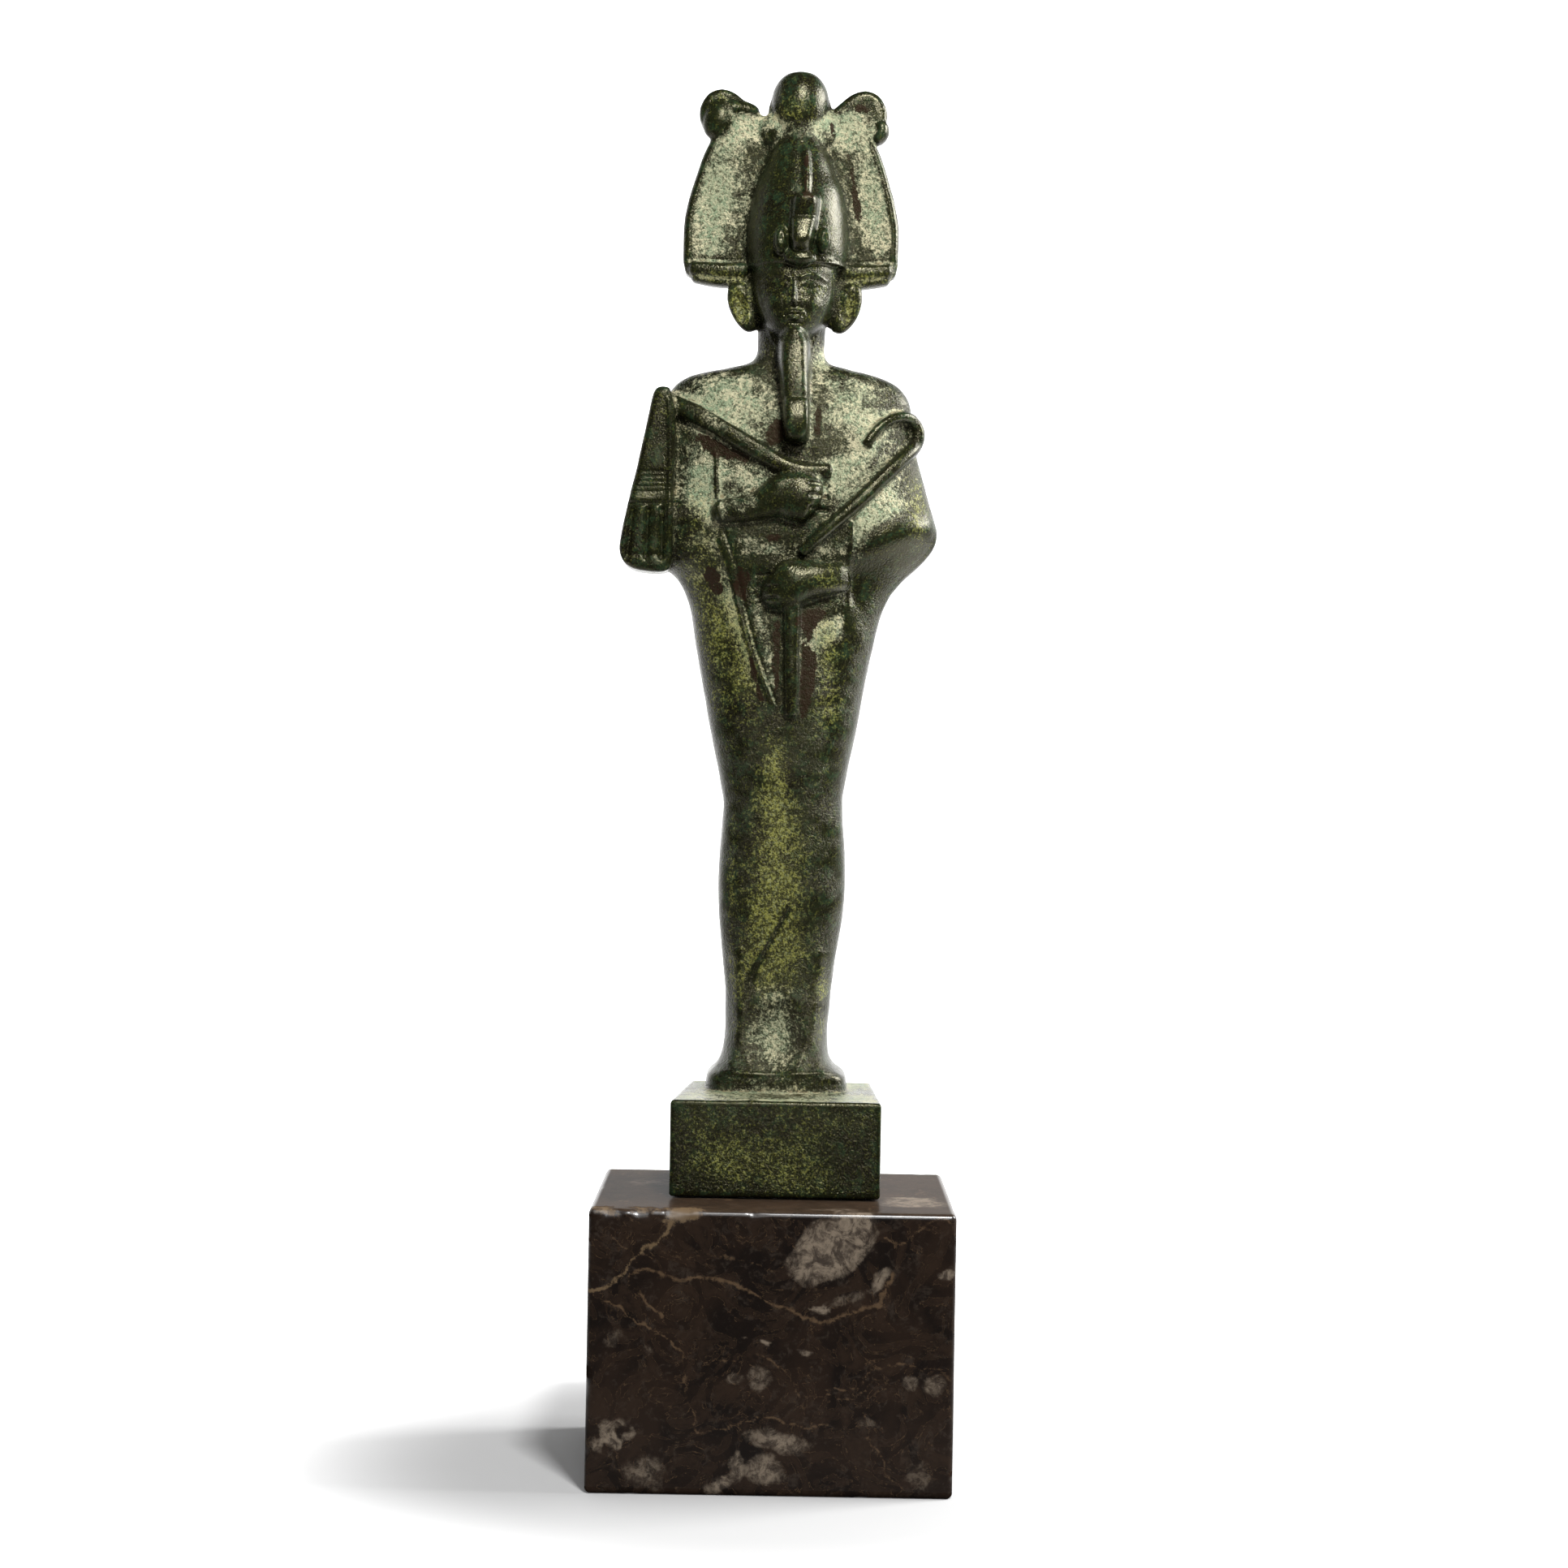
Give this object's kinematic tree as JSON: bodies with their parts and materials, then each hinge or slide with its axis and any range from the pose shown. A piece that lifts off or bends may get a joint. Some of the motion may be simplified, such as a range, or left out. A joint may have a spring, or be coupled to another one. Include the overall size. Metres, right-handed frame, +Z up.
{
  "type": "osiris statuette",
  "caption": "Cast bronze mummiform Osiris with plumed crown, cobra, beard, crook and flail, cast with a bronze plinth and standing on a polished marble block.",
  "frame": {"origin": "middle of the marble block's underside, on the ground", "axes": "+Z up; the figure faces -Y; +X is the viewer's right when the figure is seen from the front"},
  "size_m": [0.0672, 0.0544, 0.2691],
  "materials": {
    "patinated_bronze": "waxed green-black patina",
    "dark_marble": "polished dark brown fossil marble"
  },
  "bodies": {
    "root": {"bronze_osiris": "patinated_bronze", "marble_block": "dark_marble"}
  },
  "joints": []
}
